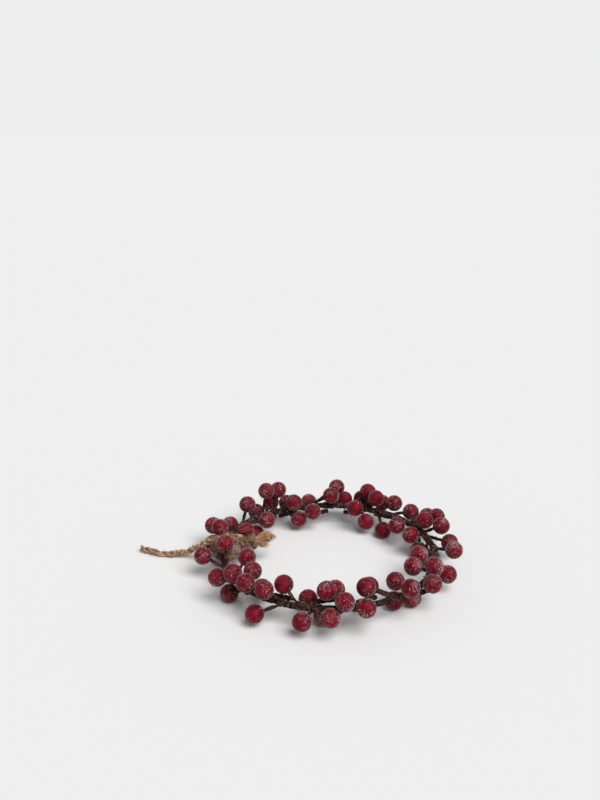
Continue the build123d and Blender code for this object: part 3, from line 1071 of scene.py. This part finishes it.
def thread_lines(first, last, chance):
    """Thin loose threads wound round a bundle."""
    threads = []
    for _ in range(threads_per_bundle):
        begin = first + (last - first) * chance.uniform(0.05, 0.3)
        end = first + (last - first) * chance.uniform(0.6, 1.0)
        turns = (end - begin) * hoop_radius / (chance.uniform(2.2, 4.5) * mm)
        count = max(8, int(turns * points_per_thread_turn))
        turn_way = chance.choice((-1, 1))
        points = []
        for index in range(count):
            share = index / (count - 1) + chance.uniform(-0.03, 0.03)
            off = binding_radius + chance.choice(thread_lifts) * mm
            side = turn_way * share * turns * math.tau + chance.uniform(-0.5, 0.5)
            points.append(on_hoop(begin + (end - begin) * share, side, off))
        threads.append(smooth_route("thread", points, 4))
    return threads


print("threads to wind:", threads_per_bundle * len(spray_names))

# %% [markdown]
# Past its binding each spray ends in a cut tail, which stands off the hoop. The side it stands on is
# an angle round the hoop's section, chosen after the photograph. One tail is hidden by the twine.

# %% Cut tails
cut_tail_sides = (140, 175, 240, None, 210, 270, 290, 240, 285, 310, 275, 125, 230, 320, 170)
cut_tail_radius = 1.3 * mm
cut_tail_length = 8.5 * mm
cut_tail_tilt = math.radians(10)
cut_tail_off = 3.225 * mm
cut_tail_step = 0.25 * mm
tip_begins = 0.88
tip_share = 0.13


def cut_tail_tube(side, last_angle):
    """The cut tail of a spray's stems, which stands off just past the bundle."""
    turn = math.radians(side)
    out = Vector((math.cos(last_angle), math.sin(last_angle), 0))
    onward = Vector((-math.sin(last_angle), math.cos(last_angle), 0))
    away = out * math.cos(turn) + up_way * math.sin(turn)
    start = on_hoop(last_angle, turn, cut_tail_off) - onward * 2 * cut_tail_radius
    way = onward * math.cos(cut_tail_tilt) + away * math.sin(cut_tail_tilt)
    length = cut_tail_length + 2 * cut_tail_radius
    share = np.linspace(0, 1, int(length / cut_tail_step))
    line = np.array([start + way * (length * mark) for mark in share])
    rounded = np.sqrt(np.clip(1 - np.clip((share - tip_begins) / tip_share, 0, 1) ** 2, 0.05, 1))
    widths = cut_tail_radius * 0.96 * rounded
    return taped_tube(line, widths, turn_length=3 * mm, step=0.25 * mm, crease=0.35 * mm, detail=5)


print("cut tails:", sum(side is not None for side in cut_tail_sides))

# %% [markdown]
# Paper fibres stand off the tape, and frost has settled on it too. Both are set on points of the
# finished tubes, picked by chance.

# %% Fibres and frost on the tape
paper_fibre, nodes, links, shader = new_finish("paper_fibres")
coordinates = nodes.new("ShaderNodeTexCoord")
fade = noise_at(nodes, links, coordinates.outputs["Object"], scale=300)
fibre_shades = [(0.35, (0.09, 0.055, 0.035)), (0.65, (0.3, 0.21, 0.14))]
links.new(colour_steps(nodes, links, fade, fibre_shades), shader.inputs["Base Color"])
shader.inputs["Roughness"].default_value = 0.8


def picked_spots(piece, count, chance):
    """Points on a piece's surface and the ways out of it there."""
    vertices = piece.data.vertices
    picks = [vertices[chance.randrange(len(vertices))] for _ in range(count)]
    return [(pick.co.copy(), pick.normal.copy()) for pick in picks]


paper_fibre_shares = (0, 0.35, 0.7, 1)


def fibre_lines(piece, count, chance):
    """Thin fibres that bend up from the tape."""
    lines = []
    for spot, out in picked_spots(piece, count, chance):
        lean = any_way(chance)
        length = chance.uniform(1.0, 3.4) * mm
        line = []
        for share in paper_fibre_shares:
            line.append(spot + (out * (0.5 * share) + lean * (0.6 * share ** 1.5)) * length)
        lines.append(line)
    return lines


def frost_on(piece, count, chance):
    """Frost grains on a taped piece."""
    spots = [spot for spot, out in picked_spots(piece, count, chance)]
    sizes = [chance.uniform(0.45, 0.95) for _ in spots]
    return grains_object("stem_frost", spots, sizes, [1] * count, chance)


print("finish made:", paper_fibre.name)

# %% [markdown]
# Now each spray is put together. Its stems, binding and cut tail are joined first, because fibres
# and frost are set on the finished tubes. Then all of it is joined and stands for one node.

# %% Stems, bundles and tails of every spray
thread_radius = 0.13 * mm
fibre_radius = 0.045 * mm
fibres_per_spray = 100
grains_per_spray = 320
chance = random.Random(47)
for name, side in zip(spray_names, cut_tail_sides):
    first, last = spans[name]
    tubes = []
    for start, centre in sprays[name]:
        line = stem_line(start, centre, last, chance)
        widths = stem_widths(line, chance)
        tubes.append(taped_tube(line, widths, turn_length=2.6 * mm, step=0.22 * mm, crease=0.28 * mm))
    binding_length = min(binding_share * (last - first) * hoop_radius, longest_binding)
    tubes.append(binding_tube(last, binding_length))
    if side is not None:
        tubes.append(cut_tail_tube(side, last))
    taped = joined("taped", tubes)
    bpy.ops.object.shade_smooth()
    taped.data.materials.append(tape)
    threads = tube_object("threads", thread_lines(first, last, chance), thread_radius, 1)
    threads.data.materials.append(paper_fibre)
    fibres = tube_object("fibres", fibre_lines(taped, fibres_per_spray, chance), fibre_radius, 0)
    fibres.data.materials.append(paper_fibre)
    settled = frost_on(taped, grains_per_spray, chance)
    whole = joined(name + "_taped_stems", [taped, threads, fibres, settled])
    dressed(whole, name + "_stems")
print("taped stems in place on", len(spray_names), "sprays")

# %% [markdown]
# The wires run inside the stems and the hoop. They keep their measured shape and get a finish of
# drawn steel, dulled a little by the paper round them.

# %% Steel wire finish
steel, nodes, links, shader = new_finish("drawn_steel_wire")
coordinates = nodes.new("ShaderNodeTexCoord")
dulling = noise_at(nodes, links, coordinates.outputs["Object"], scale=900)
greys = [(0.35, (0.2, 0.2, 0.2)), (0.65, (0.45, 0.45, 0.46))]
links.new(colour_steps(nodes, links, dulling, greys), shader.inputs["Base Color"])
shader.inputs["Metallic"].default_value = 1.0
shader.inputs["Roughness"].default_value = 0.4
wire_nodes = ["hoop_wire"] + [name + "_wires" for name in spray_names]
for node in wire_nodes:
    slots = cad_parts[node].data.materials
    slots.clear()
    slots.append(steel)
print("wires finished:", len(wire_nodes))
